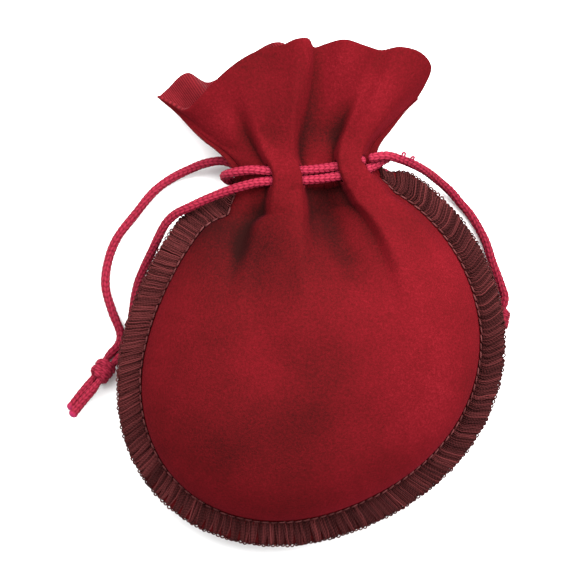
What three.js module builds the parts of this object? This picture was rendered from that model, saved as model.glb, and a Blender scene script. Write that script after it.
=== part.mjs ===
// A velvet gift pouch lying on its back, cinched shut by two drawstrings.
// Two round panels are overlocked together round the rim. Above the neck they stay open as a frill.
// Millimetres. +Z is up off the table, +Y points out of the mouth, +X is the pouch's right.
// The origin is on the table, under the middle of the pouch.
import * as THREE from 'three';

// ---- Driving dimensions ----
const CLOTH = 0.9; // thickness of one velvet panel, pile included
const TOUCH_GAP = 0.3; // clearance between pieces that touch
const CORD = 2.2; // diameter of the knitted drawstrings
const CORD_SIDES = 8;
const RIM_CENTRE = new THREE.Vector2(-0.4, -14.2);
const RIM_RADIUS = 46.36; // mean radius of the rim's outer edge
const RIM_OVAL = { size: 2.7, angle: 53.3 }; // how far the rim is drawn into an oval, and towards where
const RIM_LOBES = { size: 1.32, angle: -17.8 }; // the same for its slight three-cornered shape
const RIM_HEIGHT = 11; // the seam's height above the table
const FLANGE = 6.2; // width of the flat, overlocked seam round the rim
const NECK_FLANGE = 1.4; // width left where the seam is gathered at the neck and up the frill
const STITCH_WIDTH = 4.4; // width of the looper threads on the flange
const STITCH_INSET = 0.2; // how far they start inside the flange's outer edge
const STITCH_THICKNESS = 0.5;
const NEEDLE_INSET = 4.9; // the needle thread runs just inside the loopers
const NEEDLE_WIDTH = 0.4;
const FRONT_RISE = 22; // how far the filled front stands above the seam
const BACK_DROP = 12; // how far the back would sink below it, if the table didn't flatten it
const NECK_SEAM_HEIGHT = 11.8;
const NECK_FRONT_RISE = 2.8; // at the neck the valleys between the pleats lie this far above the seam
const NECK_BACK_DROP = 2.4;
const BODY_REACH = 40; // distance in from the seam over which the cloth reaches its full height
const NECK_REACH = 6;
const FRONT_PLEAT = 4.1; // how far the pleats arch over the front cords
const BACK_PLEAT = 3.8;
const NECK_SAG = 1.9; // how far the drawstring line dips towards the body in the middle
const SWELL_POWERS = [2.2, 0.55]; // how round the filled body is, and how steeply it rises from the seam
const PLEAT_FULL = 1.5; // a pleat reaches its full arch at the swell of 1 divided by this

// A panel's grid runs from 0 at its left side to 1 at its right, and from 0 at its foot to 1 at its free edge.
const CORNER = 0.78; // share of the height at which the rim meets the neck
const SLIT_LOW = CORNER;
const SLIT_HIGH = 0.84;
const TAPER_START = 0.7; // from here up to CORNER the flange narrows
const STITCH_END = 0.67; // the loopers' strips stop just before that
const STITCH_STEPS = 56;
const FOOT_REACH = 0.45; // the rim's roundness at the foot dies away by here
const EDGE_START = 0.86; // the free edge's waves start here
const EDGE_SOFTNESS = 0.5; // 0 fades them in evenly, 1 smoothly
const SHOULDER_START = 0.36; // the body narrows and flattens towards the neck from here
const PLEAT_START = 0.3; // the pleats rise from here
const SAG_ROWS = [0.6, 0.81, 0.97]; // the drawstring line's dip starts, is deepest and ends here
const CORNER_TURN = 1; // beside the flange's foot corners the grid lines end this many degrees along
const CORNER_V = 0.008; // and this share of the height up
const RIM_ANGLES = { left: [228, 115.6], right: [-48, 67.1] }; // foot corner, neck corner, in degrees
const SHOULDER_EASE = { left: { from: 132, size: 3 }, right: { from: 60, size: 2.2 } };

// The frill's sides from just above the neck's corner to the free edge.
const FRILL_SIDES = {
  left: [[-18.3, 27.6], [-19.9, 30.6], [-22.8, 33.6], [-26.2, 36.3], [-29.2, 39.3], [-32.6, 43], [-37, 46.7]],
  right: [[15.9, 30.6], [15.9, 33.2], [17.1, 35.8], [19.2, 38.5], [21.2, 41.2], [23.4, 43.9], [25.7, 46.1]],
};

// The free edges: share of the way across, then x, y and height.
const FRONT_EDGE = [
  [0, -37, 46.7, 8.6], [0.045, -33.6, 44.8, 10], [0.09, -30.6, 43.3, 12.5], [0.14, -27.6, 45.1, 15.5],
  [0.2, -23.3, 49.4, 18], [0.28, -17.3, 54.2, 20], [0.35, -11.8, 56.9, 21], [0.41, -7.2, 57.6, 22.5],
  [0.455, -3.6, 59, 24], [0.485, -1.2, 59.2, 24], [0.515, 0.5, 57.4, 20], [0.56, 3.6, 58.3, 19.5],
  [0.64, 8.2, 59.1, 21.5], [0.72, 12.7, 57.8, 21], [0.79, 17, 56.9, 18.5], [0.87, 21.8, 57.5, 20],
  [0.93, 26.2, 56.4, 18.5], [0.965, 28.8, 53.5, 15.5], [0.985, 27.8, 49.9, 12], [1, 25.7, 46.1, 9.8],
];
const BACK_EDGE = [
  [0, -37, 46.7, 7.4], [0.05, -35, 48.7, 6], [0.12, -30.7, 52.3, 7], [0.2, -25.4, 50.4, 2.4],
  [0.3, -18.2, 54.7, 1.5], [0.38, -11.8, 59, 3], [0.44, -8.2, 60.1, 5], [0.5, -4.6, 58.8, 2.5],
  [0.6, 2.2, 55.7, 1.5], [0.7, 9.4, 55.7, 1.5], [0.8, 16.6, 54.7, 1.5], [0.9, 21.8, 52.8, 4],
  [1, 25.7, 46.1, 8.6],
];

// The pleats that pass over the cords, and the slits beside them, as shares of the way across.
const PLEATS = [[0.265, 0.33, 0.495, 0.555], [0.725, 0.785, 0.895, 0.945]];
const ACROSS = [0, 0.025, 0.06, 0.13, 0.2, 0.265, 0.33, 0.385, 0.44, 0.495, 0.555, 0.61, 0.67, 0.725, 0.785,
  0.84, 0.895, 0.945, 1];
const UPWARD = [0, 0.03, 0.07, 0.14, 0.21, 0.28, 0.35, 0.42, 0.49, 0.55, 0.61, 0.66, 0.7, 0.74, SLIT_LOW, 0.81,
  SLIT_HIGH, 0.87, 0.9, 0.93, 0.965, 1];

// The drawstrings' routes. Each goes once round the neck through the slits and leaves as two ends, which are
// knotted together. The ends lie on the table beside the rim.
const DRAWSTRINGS = {
  left: {
    neck_loop: [[-8.2, 26, 17.2], [-1, 26.1, 17.2], [7.8, 27.3, 17.2], [12, 28.3, 16.9], [14.6, 29.4, 15.6],
      [17.1, 30.9, 13.9], [18.1, 31.5, 11.7], [17, 31.8, 9], [13.5, 31.4, 7.1], [7.8, 29.8, 6.9], [-1, 28.5, 6.9],
      [-8.2, 28.2, 6.9]],
    front_end: [[-8.6, 26, 17.2], [-13, 25.5, 17.2], [-17, 24.5, 16.9], [-21, 23.2, 16.2], [-25, 21.6, 15.4],
      [-29, 19.8, 14.6], [-32.5, 18.1, 12.9], [-34.8, 16, 11.2], [-36.7, 12.8, 8.6], [-38.5, 9.3, 5.6],
      [-40.3, 5.8, 2.9], [-41.9, 2.2, 1.4], [-42.9, -2.2, 1.15], [-43.5, -6.7, 1.15], [-43.8, -11.2, 1.15],
      [-44.6, -14.4, 1.15], [-47.1, -17, 1.3]],
    back_end: [[-8.6, 28.2, 6.9], [-13, 28.6, 6.9], [-17, 29.8, 6.7], [-21.2, 31.2, 6], [-25.3, 30.8, 4.3],
      [-29.4, 29.4, 2.4], [-34.4, 26.9, 1.3], [-38.2, 24, 1.15], [-42.9, 18.3, 1.15], [-47.3, 12.5, 1.15],
      [-49.5, 6.6, 1.15], [-50, 0.7, 1.15], [-48.4, -5.2, 1.15], [-46.3, -11, 1.15], [-46.9, -13.5, 1.15],
      [-49, -15.5, 1.3]],
    front_tail: [[-52.6, -23.7, 3.1], [-55.3, -26.9, 3], [-58.3, -30.8, 2.9]],
    back_tail: [[-54, -22.7, 1.3], [-56.4, -25.9, 1.15], [-59, -29.2, 1.15]],
    knot: { at: [-50.7, -19.7, 2.6], size: [3.9, 2.7, 2.5], turn: 52.3 },
  },
  right: {
    neck_loop: [[13, 31.1, 17.2], [7.8, 29.7, 17.2], [-1, 28.5, 17.2], [-9, 28.3, 17.2], [-14.8, 28.5, 17],
      [-18.8, 27.9, 15.5], [-20.8, 27.3, 12], [-19.4, 26.2, 8.8], [-15.5, 25.7, 7.1], [-9, 25.7, 6.9],
      [-1, 25.9, 6.9], [7.8, 27.3, 6.9], [13, 28.7, 6.9]],
    front_end: [[13.5, 31.25, 17.2], [17.8, 31.9, 16.8], [21.5, 31.1, 14.8], [25.2, 29.8, 11.8],
      [28.2, 28.3, 8.4], [31, 26.4, 5.2], [34, 24, 2.7], [36.5, 21.2, 1.5], [39, 18.3, 1.15],
      [42.4, 12.4, 1.15], [44.4, 6.6, 1.15], [46.6, 0.7, 1.15], [47.3, -1.6, 1.15], [47, -3.4, 1.3]],
    back_end: [[13.5, 28.8, 6.9], [17, 28.6, 6.2], [21.6, 25.9, 4], [26, 22.6, 1.9], [30, 19.2, 1.15],
      [33.6, 15.4, 1.15], [36.6, 11.2, 1.15], [39, 6.7, 1.15], [41, 2, 1.15], [43, -1.6, 1.15],
      [44.5, -3.4, 1.3]],
    front_tail: [[45.9, -11, 1.3], [44.6, -14.5, 1.15], [43.9, -18.5, 1.15]],
    back_tail: [[43.4, -10.6, 1.3], [41.9, -13.8, 1.15], [41.2, -17.6, 1.15]],
    knot: { at: [45.5, -7.1, 2.6], size: [3.3, 2.9, 2.5], turn: 80 },
  },
};
const CORD_STEP = 5; // length of cord between two rings of its tube
const KNOT_SEGMENTS = [14, 9];

// ---- Finishes ----
const VELVET = { color: 0xa3202b, roughness: 0.92, metalness: 0 };
const OVERLOCK = { color: 0x582322, roughness: 0.75, metalness: 0 };
const CORD_YARN = { color: 0xd43a57, roughness: 0.6, metalness: 0 };

const { lerp, smoothstep, degToRad, clamp } = THREE.MathUtils;

// ---- The pouch's outline ----

// A point of the rim, `inset` inside its outer edge, at an angle in degrees from +X.
function rimPoint(angle, inset = 0) {
  const oval = RIM_OVAL.size * Math.cos(2 * degToRad(angle - RIM_OVAL.angle));
  const lobes = RIM_LOBES.size * Math.cos(3 * degToRad(angle - RIM_LOBES.angle));
  const { left, right } = SHOULDER_EASE;
  const leftEase = angle < 180 ? left.size * (1 - smoothstep(angle, RIM_ANGLES.left[1], left.from)) : 0;
  const rightEase = angle < 90 ? right.size * smoothstep(angle, right.from, RIM_ANGLES.right[1]) : 0;
  const ease = angle > 90 ? leftEase : rightEase;
  const radius = RIM_RADIUS + oval + lobes - ease - inset;
  const direction = new THREE.Vector2(Math.cos(degToRad(angle)), Math.sin(degToRad(angle)));
  return direction.multiplyScalar(radius).add(RIM_CENTRE);
}

// A side of the panels: up the rim to the neck's corner, then up the frill.
function sidePoint(side, v, inset = 0) {
  const [foot, neck] = RIM_ANGLES[side];
  if (v <= CORNER) return rimPoint(lerp(foot, neck, v / CORNER), inset);
  const inward = side === 'left' ? inset : -inset;
  const points = FRILL_SIDES[side].map(([x, y]) => new THREE.Vector2(x + inward, y));
  const curve = new THREE.SplineCurve([rimPoint(neck, inset), ...points]);
  return curve.getPoint((v - CORNER) / (1 - CORNER));
}

const flangeWidth = (v) => lerp(FLANGE, NECK_FLANGE, smoothstep(v, TAPER_START, CORNER));

function edgePoint(edge, u) {
  const after = Math.max(1, edge.findIndex(([at]) => at >= u - 1e-9));
  const t = (u - edge[after - 1][0]) / (edge[after][0] - edge[after - 1][0]);
  const curve = new THREE.CatmullRomCurve3(edge.map(([, x, y, z]) => new THREE.Vector3(x, y, z)));
  return curve.getPoint((after - 1 + t) / (edge.length - 1));
}

// Where a point of the panel inside the flange lies, seen from above: a straight row between the two sides,
// bent to follow the rim at the foot, the drawstring line at the neck and the free edge at the top.
function planPoint(edge, u, v) {
  const inset = flangeWidth(v);
  const point = sidePoint('left', v, inset).lerp(sidePoint('right', v, inset), u);
  const [footLeft, footRight] = [RIM_ANGLES.left[0], RIM_ANGLES.right[0] + 360];
  const foot = rimPoint(lerp(footLeft, footRight, u), FLANGE);
  foot.sub(rimPoint(footLeft, FLANGE).lerp(rimPoint(footRight, FLANGE), u));
  point.addScaledVector(foot, Math.max(0, 1 - v / FOOT_REACH) ** 2);
  const free = edgePoint(edge, u);
  const ends = edgePoint(edge, 0).lerp(edgePoint(edge, 1), u);
  const even = clamp((v - EDGE_START) / (1 - EDGE_START), 0, 1);
  const wave = lerp(even, smoothstep(v, EDGE_START, 1), EDGE_SOFTNESS);
  point.x += (free.x - ends.x) * wave;
  point.y += (free.y - ends.y) * wave;
  const nearNeck = smoothstep(v, SAG_ROWS[0], SAG_ROWS[1]) * (1 - smoothstep(v, SAG_ROWS[1], SAG_ROWS[2]));
  point.y -= NECK_SAG * 4 * u * (1 - u) * nearNeck;
  return point;
}

// How far a plan point is inside the flange's inner edge.
const INNER_EDGE_STEP = { v: 0.02, angle: 2 };
const INNER_EDGE = [];
for (let v = 1; v > 0; v -= INNER_EDGE_STEP.v) INNER_EDGE.push(sidePoint('left', v, flangeWidth(v)));
for (let angle = RIM_ANGLES.left[0]; angle < RIM_ANGLES.right[0] + 360; angle += INNER_EDGE_STEP.angle) {
  INNER_EDGE.push(rimPoint(angle, FLANGE));
}
for (let v = 0; v <= 1; v += INNER_EDGE_STEP.v) INNER_EDGE.push(sidePoint('right', v, flangeWidth(v)));

function depthInside(point) {
  const near = new THREE.Vector3();
  const at = new THREE.Vector3(point.x, point.y, 0);
  let least = Infinity;
  for (let i = 1; i < INNER_EDGE.length; i += 1) {
    const [a, b] = [INNER_EDGE[i - 1], INNER_EDGE[i]];
    const line = new THREE.Line3(new THREE.Vector3(a.x, a.y, 0), new THREE.Vector3(b.x, b.y, 0));
    line.closestPointToPoint(at, true, near);
    least = Math.min(least, near.distanceTo(at));
  }
  return least;
}

// ---- The cloth's height ----

const seamHeight = (v) => lerp(RIM_HEIGHT, NECK_SEAM_HEIGHT, smoothstep(v, TAPER_START, CORNER));

// 0 at the seam and 1 over the middle, rising steeply at first like a filled bag.
function swell(depth, reach) {
  const t = clamp(depth / reach, 0, 1);
  return (1 - (1 - t) ** SWELL_POWERS[0]) ** SWELL_POWERS[1];
}

// 1 on a pleat, 0 in the valleys, with its flanks across the slits.
function pleat(u) {
  return PLEATS.reduce((sum, [a, b, c, d]) => sum + smoothstep(u, a, b) * (1 - smoothstep(u, c, d)), 0);
}

function clothHeight(front, u, v, depth) {
  const towardsNeck = smoothstep(v, SHOULDER_START, CORNER);
  const reach = lerp(BODY_REACH, NECK_REACH, towardsNeck);
  const seam = seamHeight(v);
  const offset = (CLOTH + TOUCH_GAP) / 2;
  const nearSeam = Math.min(1, PLEAT_FULL * swell(depth, reach));
  const pleated = pleat(u) * smoothstep(v, PLEAT_START, SLIT_LOW) * nearSeam;
  if (front) {
    const rise = lerp(FRONT_RISE, NECK_FRONT_RISE, towardsNeck);
    return seam + offset + rise * swell(depth, reach) + FRONT_PLEAT * pleated;
  }
  const drop = lerp(BACK_DROP, NECK_BACK_DROP, towardsNeck);
  return seam - offset - drop * swell(depth, reach) - BACK_PLEAT * pleated;
}

function panelPoint(front, u, v) {
  const edge = front ? FRONT_EDGE : BACK_EDGE;
  const plan = planPoint(edge, u, v);
  const onInnerEdge = u === 0 || u === 1 || v === 0;
  const neckHeight = clothHeight(front, u, v, onInnerEdge ? 0 : depthInside(plan));
  const free = edgePoint(edge, u).z;
  const height = lerp(neckHeight, free, smoothstep(v, SLIT_HIGH, 1));
  return new THREE.Vector3(plan.x, plan.y, Math.max(height, CLOTH / 2));
}

// The flange's outer edge, beside the grid's first and last columns and below its first row.
function flangePoint(front, plan, v, u) {
  const offset = ((front ? 1 : -1) * (CLOTH + TOUCH_GAP)) / 2;
  const free = edgePoint(front ? FRONT_EDGE : BACK_EDGE, u).z;
  return new THREE.Vector3(plan.x, plan.y, lerp(seamHeight(v) + offset, free, smoothstep(v, SLIT_HIGH, 1)));
}

// ---- Solids ----

// A closed shell of even thickness round a grid of points, open where a cell is absent.
function clothShell(rows, thickness, isAbsent = () => false) {
  const [height, width] = [rows.length, rows[0].length];
  const positions = [];
  for (const side of [1, -1]) {
    for (let j = 0; j < height; j += 1) {
      for (let i = 0; i < width; i += 1) {
        const across = rows[j][Math.min(i + 1, width - 1)].clone().sub(rows[j][Math.max(i - 1, 0)]);
        const up = rows[Math.min(j + 1, height - 1)][i].clone().sub(rows[Math.max(j - 1, 0)][i]);
        const normal = across.cross(up).normalize();
        positions.push(...rows[j][i].clone().addScaledVector(normal, (side * thickness) / 2));
      }
    }
  }
  const indices = [];
  const upper = (i, j) => j * width + i;
  const lower = (i, j) => height * width + j * width + i;
  const solidAt = (i, j) => i >= 0 && j >= 0 && i < width - 1 && j < height - 1 && !isAbsent(i, j);
  const quad = (a, b, c, d) => indices.push(a, b, c, a, c, d);
  const wall = (i0, j0, i1, j1) => quad(upper(i0, j0), lower(i0, j0), lower(i1, j1), upper(i1, j1));
  for (let j = 0; j < height - 1; j += 1) {
    for (let i = 0; i < width - 1; i += 1) {
      if (!solidAt(i, j)) continue;
      quad(upper(i, j), upper(i + 1, j), upper(i + 1, j + 1), upper(i, j + 1));
      quad(lower(i, j), lower(i, j + 1), lower(i + 1, j + 1), lower(i + 1, j));
      if (!solidAt(i, j - 1)) wall(i, j, i + 1, j);
      if (!solidAt(i + 1, j)) wall(i + 1, j, i + 1, j + 1);
      if (!solidAt(i, j + 1)) wall(i + 1, j + 1, i, j + 1);
      if (!solidAt(i - 1, j)) wall(i, j + 1, i, j);
    }
  }
  const geometry = new THREE.BufferGeometry();
  geometry.setAttribute('position', new THREE.Float32BufferAttribute(positions, 3));
  geometry.setIndex(indices);
  geometry.computeVertexNormals();
  return geometry;
}

// The first row is the rim's foot. Its two end points are the flange's corners, and the second row's ends lie
// a little further up the rim.
function panelGeometry(front) {
  const footLeft = RIM_ANGLES.left[0];
  const footRight = RIM_ANGLES.right[0] + 360;
  const footAngles = ACROSS.map((u) => lerp(footLeft + CORNER_TURN, footRight - CORNER_TURN, u));
  footAngles.unshift(footLeft);
  footAngles.push(footRight);
  const rows = [footAngles.map((angle) => flangePoint(front, rimPoint(angle), 0, 0))];
  for (const v of UPWARD) {
    const left = flangePoint(front, sidePoint('left', Math.max(v, CORNER_V)), v, 0);
    const right = flangePoint(front, sidePoint('right', Math.max(v, CORNER_V)), v, 1);
    rows.push([left, ...ACROSS.map((u) => panelPoint(front, u, v)), right]);
  }
  const inSlit = (i, j) => {
    const [u, v] = [ACROSS[i - 1], UPWARD[j - 1]];
    const beside = PLEATS.some(([a, , c]) => u === a || u === c);
    return beside && v >= SLIT_LOW && v < SLIT_HIGH;
  };
  return clothShell(rows, CLOTH, inSlit);
}

// A strip of stitching that follows the rim, from the left shoulder round the foot to the right one.
function rimStrip(inset, width, height, thickness) {
  const share = STITCH_END / CORNER;
  const start = lerp(RIM_ANGLES.left[0], RIM_ANGLES.left[1], share);
  const end = 360 + lerp(RIM_ANGLES.right[0], RIM_ANGLES.right[1], share);
  const rows = [];
  for (let step = 0; step <= STITCH_STEPS; step += 1) {
    const angle = lerp(start, end, step / STITCH_STEPS);
    const turned = angle > 270 ? angle - 360 : angle;
    const [inner, outer] = [rimPoint(turned, inset + width), rimPoint(turned, inset)];
    rows.push([inner, outer].map((plan) => new THREE.Vector3(plan.x, plan.y, height)));
  }
  return clothShell(rows, thickness);
}

// A cord's tube along a smooth curve through its route.
function cordGeometry(route) {
  const curve = new THREE.CatmullRomCurve3(route.map((point) => new THREE.Vector3(...point)));
  const section = new THREE.Shape();
  for (let side = 0; side < CORD_SIDES; side += 1) {
    const angle = (2 * Math.PI * side) / CORD_SIDES;
    const [x, y] = [(CORD / 2) * Math.cos(angle), (CORD / 2) * Math.sin(angle)];
    if (side === 0) section.moveTo(x, y);
    else section.lineTo(x, y);
  }
  const steps = Math.ceil(curve.getLength() / CORD_STEP);
  return new THREE.ExtrudeGeometry(section, { steps, extrudePath: curve, bevelEnabled: false });
}

function piece(name, geometry, finish) {
  const mesh = new THREE.Mesh(geometry, new THREE.MeshStandardMaterial(finish));
  mesh.name = name;
  return mesh;
}

// ---- The pouch ----
const group = new THREE.Group();

const cloth = new THREE.Group();
cloth.add(piece('front_panel', panelGeometry(true), VELVET));
cloth.add(piece('back_panel', panelGeometry(false), VELVET));
group.add(cloth);

const seamFace = TOUCH_GAP / 2 + CLOTH + TOUCH_GAP + STITCH_THICKNESS / 2;
const stitching = new THREE.Group();
stitching.add(piece('upper_looper_thread',
  rimStrip(STITCH_INSET, STITCH_WIDTH, RIM_HEIGHT + seamFace, STITCH_THICKNESS), OVERLOCK));
stitching.add(piece('lower_looper_thread',
  rimStrip(STITCH_INSET, STITCH_WIDTH, RIM_HEIGHT - seamFace, STITCH_THICKNESS), OVERLOCK));
stitching.add(piece('needle_thread',
  rimStrip(NEEDLE_INSET, NEEDLE_WIDTH, RIM_HEIGHT + seamFace, STITCH_THICKNESS), OVERLOCK));
group.add(stitching);

for (const [side, parts] of Object.entries(DRAWSTRINGS)) {
  const drawstring = new THREE.Group();
  for (const [name, route] of Object.entries(parts)) {
    if (name === 'knot') continue;
    drawstring.add(piece(`${side}_${name}`, cordGeometry(route), CORD_YARN));
  }
  const knot = piece(`${side}_knot`, new THREE.SphereGeometry(1, ...KNOT_SEGMENTS), CORD_YARN);
  knot.scale.set(...parts.knot.size);
  knot.position.set(...parts.knot.at);
  knot.rotation.z = degToRad(parts.knot.turn);
  drawstring.add(knot);
  group.add(drawstring);
}

export default group;
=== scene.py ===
"""A velvet gift pouch lying on its back, drawn shut at the neck by two knitted drawstrings.

Lengths in the tables and the shape functions are in millimetres, as in the CAD source, and become metres
where a mesh is made. A panel's grid runs from 0 at its left side to 1 at its right, and from 0 at its foot
to 1 at its free edge.
"""

import math

import bpy
import numpy as np
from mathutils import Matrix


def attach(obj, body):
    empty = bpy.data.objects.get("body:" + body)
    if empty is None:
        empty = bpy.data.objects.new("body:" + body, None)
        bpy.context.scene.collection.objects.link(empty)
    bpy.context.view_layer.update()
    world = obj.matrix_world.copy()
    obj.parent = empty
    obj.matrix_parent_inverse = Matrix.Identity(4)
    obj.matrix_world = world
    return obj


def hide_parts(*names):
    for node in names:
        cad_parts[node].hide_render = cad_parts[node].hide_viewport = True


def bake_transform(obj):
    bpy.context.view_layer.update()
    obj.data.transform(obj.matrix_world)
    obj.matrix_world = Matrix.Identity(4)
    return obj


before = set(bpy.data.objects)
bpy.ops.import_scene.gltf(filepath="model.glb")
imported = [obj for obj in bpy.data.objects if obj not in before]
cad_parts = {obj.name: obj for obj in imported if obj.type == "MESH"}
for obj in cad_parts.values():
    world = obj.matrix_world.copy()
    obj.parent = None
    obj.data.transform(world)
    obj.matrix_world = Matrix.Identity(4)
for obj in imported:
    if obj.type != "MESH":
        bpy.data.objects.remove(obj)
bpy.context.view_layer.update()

MM = 0.001
UP = np.array([0.0, 0, 1])
NORTH = np.array([0.0, 1, 0])

# ---- The camera ----
CAMERA_AT = (-5.52, 0.48)
CAMERA_HEIGHT = 611
FRAMED_WIDTH = 138.24  # at the height of the seam
SENSOR = 36


def overhead_camera():
    """A camera straight above the pouch, with +Y up in its view."""
    data = bpy.data.cameras.new("overhead")
    data.sensor_width = SENSOR
    data.lens = SENSOR * (CAMERA_HEIGHT - RIM_HEIGHT) / FRAMED_WIDTH
    camera = bpy.data.objects.new("overhead", data)
    camera.location = (CAMERA_AT[0] * MM, CAMERA_AT[1] * MM, CAMERA_HEIGHT * MM)
    bpy.context.collection.objects.link(camera)
    bpy.context.scene.camera = camera


# ---- The pouch's sizes, as in the CAD source ----
CLOTH = 0.8
TOUCH_GAP = 0.4
CORD = 2.2
RIM_CENTRE = np.array([-0.4, -14.2])
RIM_RADIUS = 46.36
RIM_OVAL = (2.7, 53.3)
RIM_LOBES = (1.32, -17.8)
RIM_HEIGHT = 11
FLANGE = 5.9  # up to where the cloth bulges over the seam
NECK_FLANGE = 2.2
FREE_FLANGE = 0.4  # at the frill's free corners
FRONT_RISE = 22
BACK_DROP = 12
NECK_SEAM_HEIGHT = 11.8
NECK_FRONT_RISE = 2.8
NECK_BACK_DROP = 2.4
BODY_REACH = 40
NECK_REACH = 6
FRONT_PLEAT = 4.1
BACK_PLEAT = 3.8
NECK_SAG = 1.9
SWELL_POWERS = (2.2, 0.55)
PLEAT_FULL = 1.5
CORNER = 0.78
SLIT_LOW = CORNER
SLIT_HIGH = 0.84
TAPER_START = 0.735
CORNER_EASE = 0.82
FOOT_REACH = 0.45
EDGE_START = 0.86
SHOULDER_START = 0.36
PLEAT_START = 0.3
SAG_ROWS = (0.6, 0.81, 0.97)
RIM_ANGLES = {"left": (228, 115.6), "right": (-48, 67.1)}
SHOULDER_EASE = {"left": (132, 3), "right": (60, 2.2)}

FRILL_SIDES = {
    "left": [(-18.3, 27.6), (-19.9, 30.6), (-22.8, 33.6), (-26.2, 36.3),
             (-29.2, 39.3), (-32.6, 43), (-37, 46.7)],
    "right": [(15.9, 30.6), (15.9, 33.2), (17.1, 35.8), (19.2, 38.5),
              (21.2, 41.2), (23.4, 43.9), (25.7, 46.1)],
}

# The free edges: share of the way across, then x, y and height.
FRONT_EDGE = [
    (0, -37, 46.7, 8.6), (0.045, -33.6, 44.8, 10), (0.09, -30.6, 43.3, 12.5), (0.14, -27.6, 45.1, 15.5),
    (0.2, -23.3, 49.4, 18), (0.28, -17.3, 54.2, 20), (0.35, -11.8, 56.9, 21), (0.41, -7.2, 57.6, 22.5),
    (0.455, -3.6, 59, 24), (0.485, -1.2, 59.2, 24), (0.515, 0.5, 57.4, 20), (0.56, 3.6, 58.3, 19.5),
    (0.64, 8.2, 59.1, 21.5), (0.72, 12.7, 57.8, 21), (0.79, 17, 56.9, 18.5), (0.87, 21.8, 57.5, 20),
    (0.93, 26.2, 56.4, 18.5), (0.965, 28.8, 53.5, 15.5), (0.985, 27.8, 49.9, 12), (1, 25.7, 46.1, 9.8),
]
BACK_EDGE = [
    (0, -37, 46.7, 7.4), (0.05, -35, 48.7, 6), (0.12, -30.7, 52.3, 7), (0.2, -25.4, 50.4, 2.4),
    (0.3, -18.2, 54.7, 1.5), (0.38, -11.8, 59, 3), (0.44, -8.2, 60.1, 5), (0.5, -4.6, 58.8, 2.5),
    (0.6, 2.2, 55.7, 1.5), (0.7, 9.4, 55.7, 1.5), (0.8, 16.6, 54.7, 1.5), (0.9, 21.8, 52.8, 4),
    (1, 25.7, 46.1, 8.6),
]
PLEATS = [(0.205, 0.265, 0.44, 0.495), (0.73, 0.785, 0.94, 0.985)]


# ---- Curves ----
ROUGH_STEPS = 40  # of a curve between two of its points, before it is cut evenly

def smoothstep(x, low, high):
    t = np.clip((x - low) / (high - low), 0, 1)
    return t * t * (3 - 2 * t)


def blend_of(a, b, share):
    return a + (b - a) * share


def smooth_curve(points, at):
    """Centripetal Catmull-Rom curve through the points. `at` counts points: 2.5 is halfway from the third to
    the fourth. Each stretch is the cubic whose end slopes follow the points on both sides of it."""
    p = np.asarray(points, float)
    p = np.vstack([2 * p[0] - p[1], p, 2 * p[-1] - p[-2]])
    at = np.clip(np.asarray(at, float), 0, len(points) - 1)
    i = np.minimum(at.astype(int), len(points) - 2)
    t = (at - i)[..., None]
    p0, p1, p2, p3 = p[i], p[i + 1], p[i + 2], p[i + 3]
    steps = p1 - p0, p2 - p1, p3 - p2
    d0, d1, d2 = [np.linalg.norm(step, axis=-1, keepdims=True) ** 0.5 for step in steps]
    slope1 = ((p1 - p0) / d0 - (p2 - p0) / (d0 + d1) + (p2 - p1) / d1) * d1
    slope2 = ((p2 - p1) / d1 - (p3 - p1) / (d1 + d2) + (p3 - p2) / d2) * d1
    start = (2 * t**3 - 3 * t**2 + 1) * p1 + (t**3 - 2 * t**2 + t) * slope1
    return start + (3 * t**2 - 2 * t**3) * p2 + (t**3 - t**2) * slope2


def length_along(points):
    steps = np.linalg.norm(np.diff(points, axis=0), axis=1)
    return np.concatenate([[0], np.cumsum(steps)])


def even_path(points, step):
    """The smooth curve through the points, cut into equal steps: its points, and how far along each is."""
    rough = smooth_curve(points, np.linspace(0, len(points) - 1, ROUGH_STEPS * len(points)))
    along = length_along(rough)
    even = np.linspace(0, along[-1], int(math.ceil(along[-1] / step)) + 1)
    return np.stack([np.interp(even, along, rough[:, k]) for k in range(3)], axis=1), even


def unit(vectors):
    return vectors / np.maximum(np.linalg.norm(vectors, axis=-1, keepdims=True), 1e-9)


# ---- Meshes ----

def grid_quads(rows, columns, first=0):
    """The quads of a grid of points, numbered row by row from `first`."""
    j, i = np.meshgrid(np.arange(rows - 1), np.arange(columns - 1), indexing="ij")
    corner = first + j * columns + i
    return np.stack([corner, corner + 1, corner + columns + 1, corner + columns], axis=-1).reshape(-1, 4)


def make_piece(name, points, faces, finish, attributes=None):
    """A smooth-shaded mesh object at the origin, from points in millimetres."""
    mesh = bpy.data.meshes.new(name)
    mesh.from_pydata((np.asarray(points) * MM).tolist(), [], faces)
    mesh.shade_smooth()
    for key, values in (attributes or {}).items():
        layer = mesh.attributes.new(key, "FLOAT", "POINT")
        layer.data.foreach_set("value", np.asarray(values, np.float32).ravel())
    piece = bpy.data.objects.new(name, mesh)
    bpy.context.collection.objects.link(piece)
    for material in finish:
        mesh.materials.append(material)
    return piece


def tube_rings(path, radius, facing):
    """Rings round paths of shape (..., rings, 3). The ring at each point is spanned by the path's sideways
    direction, square to `facing`, and the direction square to both. radius has one value for each ring and
    side."""
    sides = radius.shape[-1]
    tangent = unit(np.gradient(path, axis=-2))
    sideways = unit(np.cross(tangent, facing))
    upwards = np.cross(sideways, tangent)
    turn = 2 * np.pi * np.arange(sides) / sides
    across = np.cos(turn)[:, None] * sideways[..., None, :]
    up = np.sin(turn)[:, None] * upwards[..., None, :]
    return path[..., None, :] + radius[..., None] * (across + up)


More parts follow.
